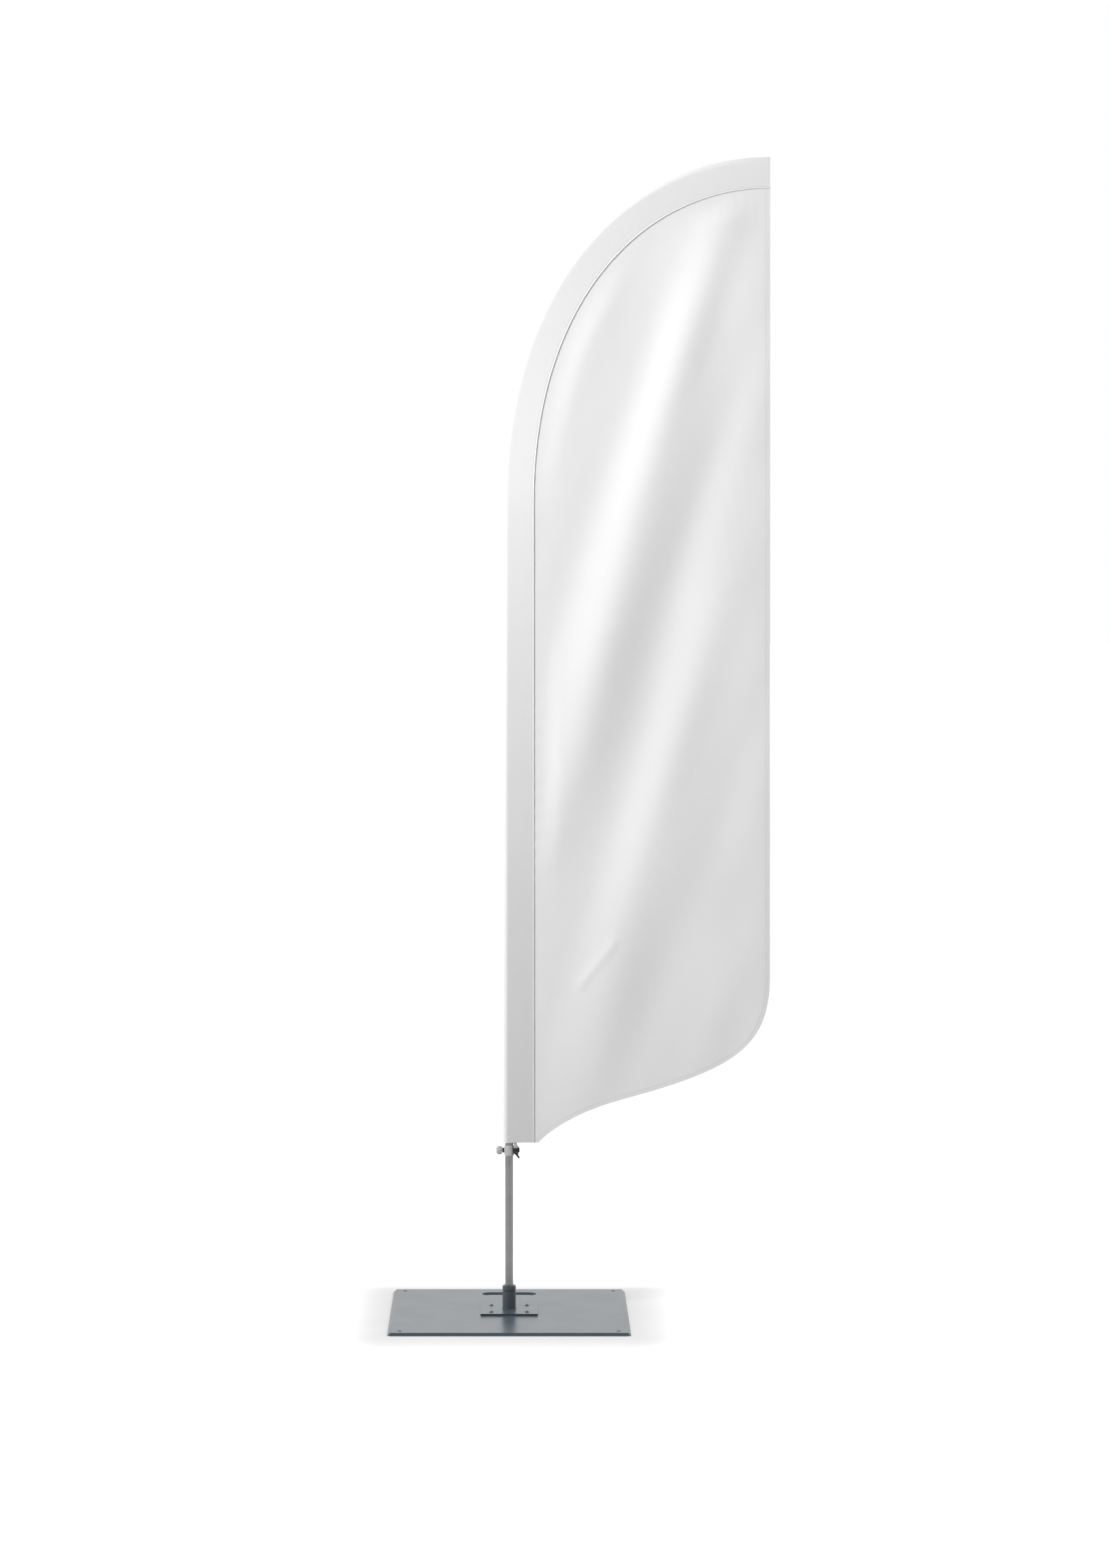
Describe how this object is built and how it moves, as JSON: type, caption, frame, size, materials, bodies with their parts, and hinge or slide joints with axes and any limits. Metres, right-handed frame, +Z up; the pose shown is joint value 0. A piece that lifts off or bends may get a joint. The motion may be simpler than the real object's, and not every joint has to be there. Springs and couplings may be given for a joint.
{
  "type": "feather flag with pole",
  "caption": "Feather flag with an arched pole sleeve, on a swivelling pole with a clamp-on tension collar and a square steel floor plate.",
  "frame": {"origin": "on the pole's axis, at the underside of the floor plate, which is floor level", "axes": "+Z up along the straight pole, +X from the pole towards the fly edge of the flag, +Y towards the hand slot in the floor plate"},
  "size_m": [0.8, 0.5, 2.436],
  "materials": {
    "plate_paint": "satin grey powder coat",
    "housing_paint": "satin dark grey powder coat",
    "steel": "bright zinc plated",
    "brass": "machined",
    "pole_metal": "satin anodised",
    "fibreglass": "satin resin over glass fibre",
    "light_plastic": "moulded, fine grain",
    "black_plastic": "moulded, fine grain",
    "nylon": "natural nylon",
    "flag_fabric": "white knitted polyester",
    "webbing": "light grey woven elastic"
  },
  "bodies": {
    "base": {"base_plate": "plate_paint", "mount_plate": "plate_paint", "spigot_housing": "housing_paint", "lower_bush": "nylon", "upper_bush": "nylon", "mount_screw_front_left": "steel", "mount_screw_front_right": "steel", "mount_screw_rear_left": "steel", "mount_screw_rear_right": "steel"},
    "rotor": {"rotor_socket": "housing_paint", "thrust_washer": "steel", "retaining_ring": "steel"},
    "pole": {"pole_foot_plug": "black_plastic", "pole_lower_tube": "pole_metal", "lower_ferrule": "black_plastic", "pole_middle_tube": "pole_metal", "upper_ferrule": "black_plastic", "pole_tip_rod": "fibreglass", "pole_tip_cap": "black_plastic", "pole_sleeve": "flag_fabric", "flag_panel": "flag_fabric", "tension_elastic": "webbing"},
    "collar": {"tension_collar": "light_plastic", "thread_insert": "brass", "hook_peg": "steel", "tension_hook": "black_plastic"},
    "pad": {"pressure_pad": "brass"},
    "clamp_screw": {"clamp_stud": "steel", "clamp_knob": "light_plastic"}
  },
  "joints": [
    {"name": "flag_swivel", "type": "hinge", "parent": "base", "child": "rotor", "pos_m": [0, 0, 0.01], "axis": [0, 0, 1], "continuous": true},
    {"name": "pole_lift", "type": "slide", "parent": "rotor", "child": "pole", "axis": [0, 0, 1], "range_m": [0, 0.055]},
    {"name": "collar_slide", "type": "slide", "parent": "pole", "child": "collar", "axis": [0, 0, 1], "range_m": [-0.05, 0]},
    {"name": "pad_slide", "type": "slide", "parent": "collar", "child": "pad", "axis": [-1, 0, 0], "range_m": [0, 0.0031]},
    {"name": "clamp_turn", "type": "hinge", "parent": "pad", "child": "clamp_screw", "pos_m": [-0.0146, 0, 0.344], "axis": [-1, 0, 0], "range_deg": [0, 1080]}
  ],
  "couplings": [
    {"joint": "pad_slide", "follows": "clamp_turn", "m_per_rad": 0.00015915}
  ]
}
